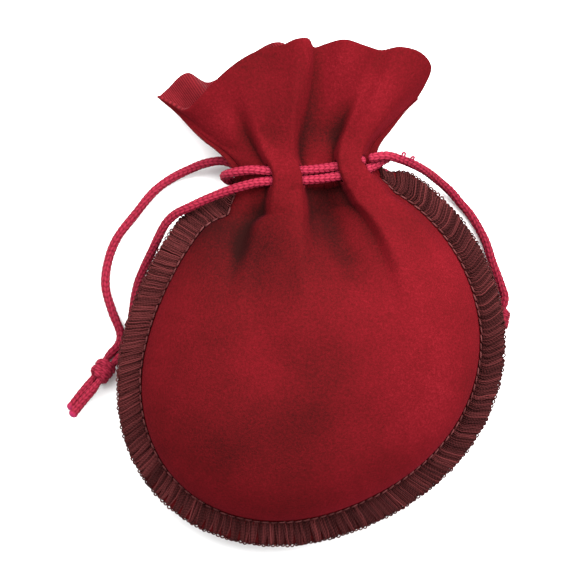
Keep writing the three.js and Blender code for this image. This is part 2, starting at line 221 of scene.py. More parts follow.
def tube_faces(tubes, rings, sides):
    """The faces of closed tubes, whose points are numbered tube by tube and ring by ring."""
    t, j, i = np.meshgrid(np.arange(tubes), np.arange(rings - 1), np.arange(sides), indexing="ij")
    here = (t * rings + j) * sides
    there = here + sides
    after = (i + 1) % sides
    walls = np.stack([here + i, there + i, there + after, here + after], axis=-1).reshape(-1, 4)
    starts = np.arange(tubes)[:, None] * rings * sides + np.arange(sides)
    ends = starts[:, ::-1] + (rings - 1) * sides
    return walls.tolist() + starts.tolist() + ends.tolist()


# ---- Finishes ----

class Shade:
    """A number from a material's nodes. Its operators add Math nodes."""

    def __init__(self, finish, socket):
        self.finish = finish
        self.socket = socket

    def maths(self, operation, first, second=None):
        values = {0: first} if second is None else {0: first, 1: second}
        return self.finish.node("ShaderNodeMath", {"operation": operation}, values)

    def __add__(self, other):
        return self.maths("ADD", self, other)

    def __radd__(self, other):
        return self.maths("ADD", other, self)

    def __sub__(self, other):
        return self.maths("SUBTRACT", self, other)

    def __rsub__(self, other):
        return self.maths("SUBTRACT", other, self)

    def __mul__(self, other):
        return self.maths("MULTIPLY", self, other)

    def __rmul__(self, other):
        return self.maths("MULTIPLY", other, self)

    def sine(self):
        return self.maths("SINE", self)

    def clamped(self):
        return self.maths("MINIMUM", self.maths("MAXIMUM", self, 0.0), 1.0)


class Finish:
    """A material's nodes, round one Principled shader."""

    def __init__(self, name, **constants):
        self.material = bpy.data.materials.new(name)
        self.material.use_nodes = True
        self.tree = self.material.node_tree
        self.tree.nodes.clear()
        self.shader = self.tree.nodes.new("ShaderNodeBsdfPrincipled")
        output = self.tree.nodes.new("ShaderNodeOutputMaterial")
        self.tree.links.new(self.shader.outputs["BSDF"], output.inputs["Surface"])
        for key, value in constants.items():
            self.shader.inputs[key.replace("_", " ")].default_value = value

    def node(self, kind, settings=None, sockets=None, output=0):
        """A node of that kind. Its settings come first, a ramp's stops among them, and then its sockets."""
        made = self.tree.nodes.new(kind)
        for key, value in (settings or {}).items():
            if key == "stops":
                for index, (position, colour) in enumerate(value):
                    stops = made.color_ramp.elements
                    stop = stops[index] if index < 2 else stops.new(position)
                    stop.position = position
                    stop.color = (*colour, 1)
            else:
                setattr(made, key, value)
        for key, value in (sockets or {}).items():
            self.plug(made.inputs[key], value)
        return Shade(self, made.outputs[output])

    def plug(self, socket, value):
        if isinstance(value, Shade):
            self.tree.links.new(value.socket, socket)
        else:
            socket.default_value = value

    def feed(self, key, value):
        self.plug(self.shader.inputs[key], value)

    def noise(self, where, scale, detail=2.0, roughness=0.5):
        sockets = {"Vector": where, "Scale": scale, "Detail": detail, "Roughness": roughness}
        return self.node("ShaderNodeTexNoise", {"noise_dimensions": "3D"}, sockets)

    def colours(self, share, *stops):
        return self.node("ShaderNodeValToRGB", {"stops": stops}, {"Fac": share})

    def place(self):
        return self.node("ShaderNodeTexCoord", output="Object")

    def cloth_place(self):
        return self.node("ShaderNodeUVMap", {"uv_map": "cloth"})

    def attribute(self, name):
        return self.node("ShaderNodeAttribute", {"attribute_name": name}, output="Fac")

    def bump(self, height, strength, distance):
        sockets = {"Height": height, "Strength": strength, "Distance": distance}
        return self.node("ShaderNodeBump", None, sockets)


def velvet_finish():
    """Crimson pile: random mottled patches and a fine grain of fibre tips, with painted shade in the cloth's
    hollows and painted light and shade in broad patches.
    """
    finish = Finish("velvet", Sheen_Weight=0.07, Sheen_Roughness=0.35, Sheen_Tint=(1.0, 0.08, 0.15, 1),
                    Specular_IOR_Level=0.0)
    place = finish.place()
    patches = finish.noise(place, 55, 3.0, 0.55)
    grain = finish.noise(place, 1700, 3.0, 0.7)
    fibres = finish.noise(place, 4500, 1.0, 0.5)
    painted_shade = finish.attribute("painted_shade")
    painted_light_and_shade = finish.attribute("painted_light_and_shade")
    # painted shade: darker where the cloth lies in a hollow; painted light and shade: the front's broad
    # lighter and darker patches
    share = patches * 0.45 + grain * 0.6 + fibres * 0.3 - 0.21 - painted_shade * 0.4 + painted_light_and_shade * 0.34
    colour = finish.colours(share.clamped(), (0.0, (0.013, 0.0032, 0.003)), (0.2, (0.028, 0.0033, 0.0035)),
                            (0.4, (0.058, 0.0036, 0.0045)), (0.6, (0.09, 0.0041, 0.0064)),
                            (0.85, (0.15, 0.0078, 0.0125)), (1.0, (0.21, 0.012, 0.02)))
    finish.feed("Base Color", colour)
    finish.feed("Roughness", 0.95 - grain * 0.15)
    finish.feed("Normal", finish.bump(grain + fibres * 0.7 + patches * 0.8, 0.35, 0.0003))
    return finish.material


def twill_finish():
    """The velvet's wrong side: a fine diagonal twill, a little paler than the pile."""
    finish = Finish("velvet_wrong_side", Sheen_Weight=0.03, Sheen_Roughness=0.5,
                    Sheen_Tint=(1.0, 0.2, 0.25, 1), Specular_IOR_Level=0.05)
    place = finish.cloth_place()
    across = finish.node("ShaderNodeSeparateXYZ", None, {"Vector": place}, "X")
    along = finish.node("ShaderNodeSeparateXYZ", None, {"Vector": place}, "Y")
    ribs = ((across + along * 0.7) * TWILL_TURNS).sine() * 0.5 + 0.5
    yarns = (along * TWILL_TURNS * 1.6).sine() * 0.5 + 0.5
    speckle = finish.noise(finish.place(), 900, 2.0, 0.6)
    share = ribs * 0.5 + yarns * 0.12 + speckle * 0.45
    colour = finish.colours(share.clamped(), (0.1, (0.04, 0.0028, 0.0042)), (0.5, (0.088, 0.0042, 0.0065)),
                            (0.9, (0.145, 0.0085, 0.0135)))
    finish.feed("Base Color", colour)
    finish.feed("Roughness", 0.9 - ribs * 0.2)
    finish.feed("Normal", finish.bump(ribs + yarns * 0.4, 0.5, 0.00015))
    return finish.material


def thread_finish(name, dark, light):
    """Spun sewing thread: two plies twisted together, each strand its own tone. On the looper threads its
    shade also carries painted light and shade.
    """
    finish = Finish(name, Specular_IOR_Level=0.03)
    twist = (finish.attribute("twist") * 2 * math.pi).sine() * 0.5 + 0.5
    shade = finish.attribute("shade")
    fuzz = finish.noise(finish.place(), 3500, 2.0, 0.6)
    share = shade * 0.55 + twist * 0.2 + fuzz * 0.35 - 0.05
    colour = finish.colours(share.clamped(), (0.1, dark), (0.9, light))
    finish.feed("Base Color", colour)
    finish.feed("Roughness", 0.75 - twist * 0.15)
    finish.feed("Normal", finish.bump(twist + fuzz * 0.4, 0.5, 0.00008))
    return finish.material


def cord_finish():
    """Knitted fuchsia-crimson yarn with smooth melted tips, darkened by painted shade between the stitches
    and on the cords outside the neck.
    """
    finish = Finish("knitted_cord", Specular_IOR_Level=0.03)
    painted_shade = finish.attribute("painted_shade")
    melted = finish.attribute("melted")
    fuzz = finish.noise(finish.place(), 2600, 2.0, 0.6)
    tone = finish.noise(finish.place(), 120, 2.0, 0.5)
    # painted shade from the attribute: between the stitches, and on the cords outside the neck
    share = 0.72 - painted_shade * 0.95 + fuzz * 0.22 + tone * 0.25 - 0.1
    yarn = finish.colours(share.clamped(), (0.0, (0.06, 0.0035, 0.008)), (0.35, (0.13, 0.0065, 0.016)),
                          (0.75, (0.225, 0.0155, 0.034)), (1.0, (0.31, 0.028, 0.055)))
    colour = finish.node("ShaderNodeMix", {"data_type": "RGBA"},
                         {"Factor": melted * 0.85, 6: yarn, 7: (0.24, 0.015, 0.07, 1)}, 2)
    finish.feed("Base Color", colour)
    finish.feed("Roughness", 0.6 + fuzz * 0.12 - melted * 0.25)
    finish.feed("Normal", finish.bump(fuzz - painted_shade * 0.5, 0.3, 0.0001))
    return finish.material


# ---- The drawstrings ----
ROUTES = {
    "left_neck_loop": [(-8.2, 26, 17.2), (-1, 26.1, 17.2), (7.8, 27.3, 17.2), (12, 28.3, 16.9),
                       (14.6, 29.4, 15.6), (17.1, 30.9, 13.9), (18.1, 31.5, 11.7), (17, 31.8, 9),
                       (13.5, 31.4, 7.1), (7.8, 29.8, 6.9), (-1, 28.5, 6.9), (-8.2, 28.2, 6.9)],
    "right_neck_loop": [(13, 31.1, 17.2), (7.8, 29.7, 17.2), (-1, 28.5, 17.2), (-9, 28.3, 17.2),
                        (-14.8, 28.5, 17), (-18.8, 27.9, 15.5), (-20.8, 27.3, 12), (-19.4, 26.2, 8.8),
                        (-15.5, 25.7, 7.1), (-9, 25.7, 6.9), (-1, 25.9, 6.9), (7.8, 27.3, 6.9),
                        (13, 28.7, 6.9)],
    "left_front": [(-8.6, 26, 17.2), (-13, 25.5, 17.2), (-17, 24.5, 16.9), (-21, 23.2, 16.2),
                   (-25, 21.6, 15.4), (-29, 19.8, 14.6), (-32.5, 18.1, 12.9), (-34.8, 16, 11.2),
                   (-36.7, 12.8, 8.6), (-38.5, 9.3, 5.6), (-40.3, 5.8, 2.9), (-41.9, 2.2, 1.4),
                   (-42.9, -2.2, 1.15), (-43.5, -6.7, 1.15), (-43.8, -11.2, 1.15), (-44.6, -14.4, 1.3),
                   (-47.1, -17, 2.2), (-50, -20.3, 3.4), (-52.6, -23.7, 3.1), (-55.3, -26.9, 3),
                   (-58.3, -30.8, 2.9)],
    "left_back": [(-8.6, 28.2, 6.9), (-13, 28.6, 6.9), (-17, 29.8, 6.7), (-21.2, 31.2, 6),
                  (-25.3, 30.8, 4.3),
                  (-29.4, 29.4, 2.4), (-34.4, 26.9, 1.3), (-38.2, 24, 1.15), (-42.9, 18.3, 1.15),
                  (-47.3, 12.5, 1.15), (-49.5, 6.6, 1.15), (-50, 0.7, 1.15), (-48.4, -5.2, 1.15),
                  (-46.3, -11, 1.15), (-46.9, -13.5, 1.15), (-49, -15.8, 1.3), (-51.4, -19.2, 1.5),
                  (-54, -22.9, 1.3), (-56.4, -25.9, 1.15), (-59, -29.2, 1.15)],
    "right_front": [(13.5, 31.25, 17.2), (17.8, 31.9, 16.8), (21.5, 31.1, 14.8), (25.2, 29.8, 11.8),
                    (28.2, 28.3, 8.4), (31, 26.4, 5.2), (34, 24, 2.7), (36.5, 21.2, 1.5), (39, 18.3, 1.15),
                    (42.4, 12.4, 1.15), (44.4, 6.6, 1.15), (46.6, 0.7, 1.15), (47.3, -1.6, 1.15),
                    (46.9, -4.2, 1.6), (46.2, -7.2, 2.4), (45.9, -11, 1.5), (44.6, -14.5, 1.15),
                    (43.9, -18.5, 1.15)],
    "right_back": [(13.5, 28.8, 6.9), (17, 28.6, 6.2), (21.6, 25.9, 4), (26, 22.6, 1.9), (30, 19.2, 1.15),
                   (33.6, 15.4, 1.15), (36.6, 11.2, 1.15), (39, 6.7, 1.15), (41, 2, 1.15), (43, -1.6, 1.15),
                   (44.3, -4, 1.3), (44.6, -7.2, 1.5), (43.4, -10.6, 1.3), (41.9, -13.8, 1.15),
                   (41.2, -17.6, 1.15)],
}
KNOTS = {
    "left": {"at": (-50.7, -19.7, 2.6), "size": (3.9, 2.7, 2.5), "turn": 52.3},
    "right": {"at": (45.5, -7.1, 2.6), "size": (3.3, 2.9, 2.5), "turn": 80},
}
CORD_RING = 0.13  # length of cord between two rings
CORD_SIDES = 32
WALES = 4  # columns of stitches round the cord
KNIT_STITCH = 1.27
KNIT_SLANT = 0.55
KNIT_TWIST = 0.016  # turns of the wales in a millimetre
KNIT_RELIEF = 0.26  # of the radius
KNIT_CROWN = 1.02  # the highest stitches, as a share of the cord's radius
GROOVES = (0.92, 0.97)  # depth of the grooves between columns and between stitches
MELT = 1.7  # length of a melted tip
MELT_SWELL = 0.12
TIP_START = 0.02  # the first and last rings, as a share of the rounded ends
KNOT_SQUEEZE = 0.74
KNOT_EASE = 1.2  # past the knot, where a cord is its full thickness again


def knitted(along, around, start):
    """Height from 0 to 1 of a knitted tube's surface. Each wale is two columns of pillows that slant in
    towards its middle, so that each pair makes a V: a pillow is a half ellipse across its column and along
    its stitch."""
    column = (around + along * KNIT_TWIST) * 2 * WALES + start
    across = column % 1
    lean = np.where(np.floor(column) % 2 == 0, 1, -1)
    upward = (along / KNIT_STITCH + lean * KNIT_SLANT * (across - 0.5) + start) % 1
    pillow = 1 - GROOVES[0] * (2 * across - 1) ** 2
    return np.sqrt(pillow * (1 - GROOVES[1] * (2 * upward - 1) ** 4))


def knitted_tube(path, along, thickness, facing, melts, start=0.0):
    """The rings, painted shade and melted shares of a knitted cord; the painted shade is darkest where the
    knit is low.
    Its radius is that of the cord, less the relief where the knit is low. Both ends are rounded over half a
    thickness, and melted ones swell."""
    around = np.arange(CORD_SIDES) / CORD_SIDES
    height = knitted(along[:, None], around[None, :], start)
    to_end = along[-1] - along
    melted = smoothstep(to_end, MELT, 0) if melts else np.zeros_like(along)
    relief = KNIT_RELIEF * (1 - melted)[:, None]
    near = np.minimum(along, to_end) / (thickness / 2)
    rounding = np.sqrt(1 - (1 - np.clip(near, TIP_START, 1)) ** 2)
    swollen = 1 + MELT_SWELL * melted
    radius = (thickness / 2 * rounding * swollen)[:, None] * (KNIT_CROWN - relief * (1 - height))
    # painted shade where the knit is low, none on the melted tips
    painted_shade = (1 - height) * (1 - melted)[:, None]
    rings = tube_rings(path, radius, facing)
    return rings, painted_shade, np.repeat(melted[:, None], CORD_SIDES, axis=1)


def squeezed(path, knot):
    """Cord thickness along a path: the full one, and three quarters of it inside the knot."""
    away = np.linalg.norm(path - np.array(knot["at"]), axis=1)
    return CORD * blend_of(KNOT_SQUEEZE, 1, smoothstep(away, knot["size"][1], knot["size"][0] + KNOT_EASE))


CORD_PAINTED_SHADE = {"left": 0.13, "right": 0.27}  # painted shade: how much darker a cord is made outside the neck
CORD_PAINTED_SHADE_OVER = (1, 12)  # where along it that starts and is complete


def free_cord(side, layer, finish):
    """One end of a drawstring: from its slit, round the pouch, through the knot to its melted tip."""
    name = f"{side}_{layer}"
    route = ROUTES[name]
    path, along = even_path(route, CORD_RING)
    thickness = squeezed(path, KNOTS[side])
    rings, painted_shade, melted = knitted_tube(path, along, thickness, UP, True)
    faces = tube_faces(1, len(path), CORD_SIDES)
    # painted shade: the cord is made darker once it is outside the neck
    painted_shade = painted_shade + CORD_PAINTED_SHADE[side] * smoothstep(along, *CORD_PAINTED_SHADE_OVER)[:, None]
    points, painted_shade, melted = rings.reshape(-1, 3), painted_shade.ravel(), melted.ravel()
    if name == "right_front":
        loops, loop_faces = frays()
        faces = faces + [[corner + len(points) for corner in face] for face in loop_faces]
        points = np.vstack([points, loops])
        painted_shade = np.append(painted_shade, np.full(len(loops), FRAY_TONE))
        melted = np.append(melted, np.full(len(loops), FRAY_TONE))
    piece = make_piece(f"{name}_cord", points, faces, [finish], {"painted_shade": painted_shade, "melted": melted})
    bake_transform(piece)
    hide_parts(f"{name}_end", f"{name}_tail")


FRAY_RINGS = 24
FRAYS = [(21.9, 31.4, 15.6, 1.3, 0.5), (23.9, 30.8, 14.2, 1.0, 1.1)]  # foot, height and lean of each
FRAY_RADIUS = 0.23
FRAY_WAVE, FRAY_TILT, FRAY_LIFT = 0.35, 0.4, 0.5
FRAY_TONE = 0.2


def frays():
    """Two tiny loops of loose fibre on the right cord: rings of thin tubes along narrow arches."""
    share = np.linspace(0, 1, FRAY_RINGS)
    arch = np.sin(math.pi * share)
    tubes = []
    for x, y, z, height, lean in FRAYS:
        across = FRAY_WAVE * np.sin(2 * math.pi * share) + lean * arch * FRAY_TILT
        path = np.stack([x + across, y + height * arch, z + FRAY_LIFT * arch], axis=1)
        tubes.append(tube_rings(path, np.full((FRAY_RINGS, CORD_SIDES), FRAY_RADIUS), UP))
    return np.stack(tubes).reshape(-1, 3), tube_faces(len(FRAYS), FRAY_RINGS, CORD_SIDES)


def neck_loop(side, finish):
    """The part of a drawstring that goes round the neck, through the slits."""
    path, along = even_path(ROUTES[f"{side}_neck_loop"], CORD_RING)
    rings, painted_shade, melted = knitted_tube(path, along, np.full(len(path), CORD), NORTH, False)
    faces = tube_faces(1, len(path), CORD_SIDES)
    piece = make_piece(f"{side}_neck_cord", rings.reshape(-1, 3), faces, [finish],
                       {"painted_shade": painted_shade, "melted": melted})
    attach(piece, "pouch")
    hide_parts(f"{side}_neck_loop")


WRAP_TURNS = 1.6
WRAP_THICKNESS = 2.0
WRAP_RINGS = 170
WRAP_STARTS = ((-0.5, 0.5), (0.5, 0.9))  # of the two cords: place along the knot, and first angle
WRAP_CLOSE = 0.92  # between the two, in thicknesses
WRAP_DIVE = (0.38, 0.5)  # where the ends dive inside, from the middle
WRAP_LEAN = 0.8


def knot_wrap(side, finish):
    """The knot's outside: two cords side by side, wound together round the two that pass through it. Each
    path is a helix on an ellipse, leaning along the knot, whose ends dive inside."""
    knot = KNOTS[side]
    long, wide, high = knot["size"]
    share = np.linspace(0, 1, WRAP_RINGS)
    c, s = math.cos(math.radians(knot["turn"])), math.sin(math.radians(knot["turn"]))
    tubes = []
    for offset, start in WRAP_STARTS:
        turn = 2 * math.pi * WRAP_TURNS * share + start
        inward = 1 - 0.5 * smoothstep(np.abs(share - 0.5), *WRAP_DIVE)
        x = offset * WRAP_THICKNESS * WRAP_CLOSE + (long - WRAP_THICKNESS) * (share * 2 - 1) * 0.5
        x = x + WRAP_LEAN * np.sin(turn)
        y = (wide - WRAP_THICKNESS / 2) * inward * np.cos(turn)
        z = (high - WRAP_THICKNESS / 2) * inward * np.sin(turn)
        path = np.stack([x * c - y * s, x * s + y * c, z], axis=1) + np.array(knot["at"])
        thickness = np.full(len(path), WRAP_THICKNESS)
        facing = np.array([c, s, 0])
        tubes.append(knitted_tube(path, length_along(path), thickness, facing, False, start))
    rings, painted_shade, melted = [np.stack(part) for part in zip(*tubes)]
    faces = tube_faces(2, WRAP_RINGS, CORD_SIDES)
    # painted shade: the knot's wrap is made as dark as its cords outside the neck
    piece = make_piece(f"{side}_knot_wrap", rings.reshape(-1, 3), faces, [finish],
                       {"painted_shade": painted_shade + CORD_PAINTED_SHADE[side], "melted": melted})
    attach(piece, f"{side}_drawstring")
    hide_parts(f"{side}_knot")
    return piece


def drawstrings():
    finish = cord_finish()
    for side in ("left", "right"):
        neck_loop(side, finish)
        knot_piece = knot_wrap(side, finish)
        for layer in ("front", "back"):
            free_cord(side, layer, finish)


# ---- The outline ----
FINE_OUTLINE, COARSE_OUTLINE = 900, 60  # points in each of its three stretches

def rim_point(angle, inset=0):
    """A point of the rim, `inset` inside its outer edge, at an angle in degrees from +X: a circle, drawn
    into a slight oval and a slighter three-cornered shape, and eased inwards at both shoulders."""
    angle = np.asarray(angle, float)
    turn = np.radians(angle)
    oval = RIM_OVAL[0] * np.cos(2 * (turn - math.radians(RIM_OVAL[1])))
    lobes = RIM_LOBES[0] * np.cos(3 * (turn - math.radians(RIM_LOBES[1])))
    start, size = SHOULDER_EASE["left"]
    left = np.where(angle < 180, size * (1 - smoothstep(angle, RIM_ANGLES["left"][1], start)), 0)
    start, size = SHOULDER_EASE["right"]
    right = size * smoothstep(angle, start, RIM_ANGLES["right"][1])
    ease = np.where(angle > 90, left, right)
    radius = RIM_RADIUS + oval + lobes - ease - inset
    return RIM_CENTRE + radius[..., None] * np.stack([np.cos(turn), np.sin(turn)], axis=-1)


def side_point(side, v, inset=0):
    """A side of the panels: up the rim to the neck's corner, then up the frill."""
    v = np.asarray(v, float)
    inset = np.broadcast_to(inset, v.shape)
    foot, neck = RIM_ANGLES[side]
    on_rim = rim_point(blend_of(foot, neck, np.minimum(v, CORNER) / CORNER), inset)
    inward = 1 if side == "left" else -1
    frill = np.vstack([rim_point(neck)[None], np.array(FRILL_SIDES[side])])
    on_frill = smooth_curve(frill, np.clip((v - CORNER) / (1 - CORNER), 0, 1) * (len(frill) - 1))
    on_frill = on_frill + np.stack([inward * inset, 0 * inset], axis=-1)
    corner_shift = (rim_point(neck, NECK_FLANGE) - rim_point(neck) - np.array([inward * NECK_FLANGE, 0]))
    shifted = (1 - smoothstep(v, CORNER, CORNER_EASE)) * inset / NECK_FLANGE
    on_frill = on_frill + corner_shift * shifted[..., None]
    return np.where((v <= CORNER)[..., None], on_rim, on_frill)


def flange_width(v):
    width = blend_of(FLANGE, NECK_FLANGE, smoothstep(v, TAPER_START, CORNER))
    return blend_of(width, FREE_FLANGE, smoothstep(v, SLIT_HIGH, 1))


def seam_height(v):
    return blend_of(RIM_HEIGHT, NECK_SEAM_HEIGHT, smoothstep(v, TAPER_START, CORNER))


def edge_point(edge, u):
    table = np.array(edge)
    at = np.interp(u, table[:, 0], np.arange(len(edge)))
    return smooth_curve(table[:, 1:], at)


def plan_point(edge, u, v):
    """Where a point of the panel inside the flange lies, seen from above: a straight row between the two
    sides, bent to follow the rim at the foot, the drawstring line at the neck and the free edge."""
    inset = flange_width(v)
    left, right = side_point("left", v, inset), side_point("right", v, inset)
    point = left + (right - left) * u[..., None]
    ends = RIM_ANGLES["left"][0], RIM_ANGLES["right"][0] + 360
    corners = rim_point(ends[0], FLANGE), rim_point(ends[1], FLANGE)
    foot = rim_point(blend_of(*ends, u), FLANGE) - blend_of(*corners, u[..., None])
    point = point + foot * (np.maximum(0, 1 - v / FOOT_REACH) ** 2)[..., None]
    sides = edge_point(edge, 0), edge_point(edge, 1)
    even = np.clip((v - EDGE_START) / (1 - EDGE_START), 0, 1)
    wave = (even + smoothstep(v, EDGE_START, 1)) / 2
    point = point + ((edge_point(edge, u) - blend_of(*sides, u[..., None])) * wave[..., None])[..., :2]
    sag = smoothstep(v, *SAG_ROWS[:2]) * (1 - smoothstep(v, *SAG_ROWS[1:]))
    point[..., 1] -= NECK_SAG * 4 * u * (1 - u) * sag
    return point


def boundary(v_ends, inset_share, count=FINE_OUTLINE):
    """The pouch's outline from the left side, round the foot, to the right side: points, and v. v_ends is
    where it starts and ends."""
    down, up = np.linspace(v_ends[0], 0, count), np.linspace(0, v_ends[1], count)
    foot = np.linspace(RIM_ANGLES["left"][0], RIM_ANGLES["right"][0] + 360, count)[1:-1]
    left = side_point("left", down, flange_width(down) * inset_share)
    right = side_point("right", up, flange_width(up) * inset_share)
    line = np.vstack([left, rim_point(foot, FLANGE * inset_share), right])
    return line, np.concatenate([down, np.zeros(count - 2), up])


def depth_inside(point):
    """How far plan points are inside the flange's inner edge."""
    line = boundary((1, 1), 1, COARSE_OUTLINE)[0]
    a, step = line[:-1], np.diff(line, axis=0)
    flat = point.reshape(-1, 2)
    least = np.full(len(flat), np.inf)
    for start, along in zip(a, step):
        away = flat - start
        share = np.clip(away @ along / (along @ along), 0, 1)
        least = np.minimum(least, np.linalg.norm(away - share[:, None] * along, axis=1))
    return least.reshape(point.shape[:-1])


# ---- The cloth ----
GRID_ACROSS = 170
GRID_UPWARD = 210
FLANGE_COLUMNS = 7
TWILL_TURNS = 2 * math.pi / 0.0006
PUCKER_WAVES = ((0.62, 0, 1), (0.37, 1, 1), (1.1, 2, 0.6))  # round the rim: rate, start and size
PUCKER_HEIGHT = 0.32
PUCKER_START = 1.5
PUCKER_REACH = 4.5
LOOSE_WAVES = (17, 23, 29, 41)
LOOSE_HEIGHT = 0.45
LOOSE_REACH = 9  # in from the seam, over which folds and loose waves reach their full height
TABLE_GAP, TABLE_EASE = 0.05, 1.0
FOLD_POINTS = 120
HOLLOW_REACH = 160  # rounds of averaging with the neighbours, which set how broad a dip in the cloth counts for the painted shade
HOLLOW_DEPTH = 1.6
SLIT_CLEARANCE = 1.5  # from a cord's middle to the cloth round it
NECK_FROM, NECK_TO_SIDE = 20, 25  # the cords' points above and within these may touch the cloth
CORD_LINE_STEP = 0.3

# Folds of the front: points in plan, height, half width, and the shares of its length where it reaches its
# full height and starts to lose it. A negative height is a valley.
FRONT_FOLDS = [
    ([(-5, 24), (-2.6, 12), (1.7, 0), (4.6, -9.6)], 1.6, 4.5, 0.15, 0.45),
    ([(12, 25), (17, 14), (21.4, 4.8), (31, -14.4)], 1.4, 4.0, 0.15, 0.45),
    ([(17, 24), (20.6, 16), (23.8, 7.2)], -0.5, 1.8, 0.2, 0.5),
    ([(2.8, 25.5), (3.4, 20), (6, 12), (11, 2), (19, -9)], -3.8, 4.2, 0.05, 0.3),
    ([(-17, 25.5), (-16.2, 19), (-15.5, 9), (-12.5, -7), (-8, -19)], -3.4, 5.4, 0.05, 0.3),
    ([(-13, 29.5), (-15.5, 37), (-18, 46), (-21, 52)], -2.6, 7.0, 0.35, 0.5),
    ([(6, 31), (7.5, 38), (8, 47), (6, 57)], -2.6, 6.5, 0.35, 0.5),
    ([(13, 31), (15, 40), (17, 52)], 1.0, 3.5, 0.2, 0.6),
]

# Painted light and shade on the front, as broad patches: middle x and y, half widths in x and y, and how
# much lighter each is.
FRONT_PAINTED_LIGHT_AND_SHADE = [
    (12, 48, 12, 12, 0.5), (-22, 40, 8, 8, 0.5), (-15, 5, 12, 12, -0.5), (-28, 16, 10, 6, -1),
    (25, 0, 12, 15, 0.5), (22, -28, 12, 14, 0.5), (0, -30, 10, 12, -0.5), (-25, -35, 12, 8, -0.5),
]
FLANGE_PAINTED_SHADE = -1.7  # painted shade on the flange's velvet, under and between the threads
# painted light at the lower left, which lifts the painted shade where the stitches open out
FLANGE_PAINTED_LIGHT = [(-18, -50, 24, 12, 2.1)]
FLANGE_PAINTED_SHADE_END = (24, 28)  # it fades out between these heights up the pouch


def swell(depth, reach):
    """0 at the seam and 1 over the middle, rising steeply at first like a filled bag."""
    t = np.clip(depth / reach, 0, 1)
    return (1 - (1 - t) ** SWELL_POWERS[0]) ** SWELL_POWERS[1]


def pleat(u):
    """1 on a pleat, 0 in the valleys."""
    return sum(smoothstep(u, a, b) * (1 - smoothstep(u, c, d)) for a, b, c, d in PLEATS)


def fold_heights(point, folds):
    """Ridges and valleys: each is a bell curve of the distance from its line, dying away at its ends."""
    total = np.zeros(point.shape[:-1])
    for line, height, width, full, lose in folds:
        curve = smooth_curve(line, np.linspace(0, len(line) - 1, FOLD_POINTS))
        away = np.linalg.norm(point[..., None, :] - curve, axis=-1)
        share = np.argmin(away, axis=-1) / (FOLD_POINTS - 1)
        strength = smoothstep(share, 0, full) * (1 - smoothstep(share, lose, 1))
        total += height * strength * np.exp(-((away.min(axis=-1) / width) ** 2))
    return total


def painted_patches(point, patches):
    """Painted light and shade: a sum of bells, each an ellipse of the plan."""
    x, y = point[..., 0], point[..., 1]
    total = np.zeros_like(x)
    for middle_x, middle_y, wide, high, shade in patches:
        total += shade * np.exp(-(((x - middle_x) / wide) ** 2) - ((y - middle_y) / high) ** 2)
    return total


def waves(x, y, sizes, seed):
    """Gentle irregularity: a sum of sines in seeded directions, one a wavelength, between -1 and 1."""
    rng = np.random.default_rng(seed)
    total = np.zeros_like(x)
    for size in sizes:
        turn, phase = rng.uniform(0, 2 * math.pi, 2)
        total += np.sin(2 * math.pi * (x * math.cos(turn) + y * math.sin(turn)) / size + phase)
    return total / len(sizes)


def cloth_height(front, u, v, depth, plan):
    """The middle surface's height: the seam's, then the filled swell and the pleats away from the other
    panel, then folds, loose waves and the puckers beside the seam."""
    towards_neck = smoothstep(v, SHOULDER_START, CORNER)
    reach = blend_of(BODY_REACH, NECK_REACH, towards_neck)
    offset = (CLOTH + TOUCH_GAP) / 2
    filled = swell(depth, reach)
    pleated = pleat(u) * smoothstep(v, PLEAT_START, SLIT_LOW) * np.minimum(1, PLEAT_FULL * filled)
    inside = np.clip(depth / LOOSE_REACH, 0, 1)
    around = np.degrees(np.arctan2(plan[..., 1] - RIM_CENTRE[1], plan[..., 0] - RIM_CENTRE[0]))
    pucker = sum(size * np.sin(around * rate + start) for rate, start, size in PUCKER_WAVES)
    pucker = pucker / sum(size for _, _, size in PUCKER_WAVES) * PUCKER_HEIGHT
    pucker = pucker * np.clip(depth / PUCKER_START, 0, 1) * np.exp(-depth / PUCKER_REACH)
    seed = 5 if front else 6
    loose = waves(plan[..., 0], plan[..., 1], LOOSE_WAVES, seed) * LOOSE_HEIGHT * inside
    if front:
        rise = blend_of(FRONT_RISE, NECK_FRONT_RISE, towards_neck)
        folds = fold_heights(plan, FRONT_FOLDS) * inside
        return seam_height(v) + offset + rise * filled + FRONT_PLEAT * pleated + folds + loose + pucker
    drop = blend_of(BACK_DROP, NECK_BACK_DROP, towards_neck)
    return seam_height(v) - offset - drop * filled - BACK_PLEAT * pleated + loose - pucker


def resting(height):
    """The height of cloth that the table holds up, bent softly where it comes down onto it."""
    floor, ease = CLOTH / 2 + TABLE_GAP, TABLE_EASE
    over = height - floor
    return floor + np.where(over > ease, over, ease * np.exp(np.minimum(over / ease - 1, 0)))


def panel_surface(front, u, v):
    """The middle surface of a panel inside its flange, as a grid of points."""
    edge = FRONT_EDGE if front else BACK_EDGE
    u_grid, v_grid = np.meshgrid(u, v)
    plan = plan_point(edge, u_grid, v_grid)
    depth = depth_inside(plan)
    depth[:, [0, -1]] = 0
    depth[0] = 0
    near = cloth_height(front, u_grid, v_grid, depth, plan)
    free = edge_point(edge, u_grid)[..., 2]
    height = blend_of(near, free, smoothstep(v_grid, SLIT_HIGH, 1))
    return np.dstack([plan, resting(height)])


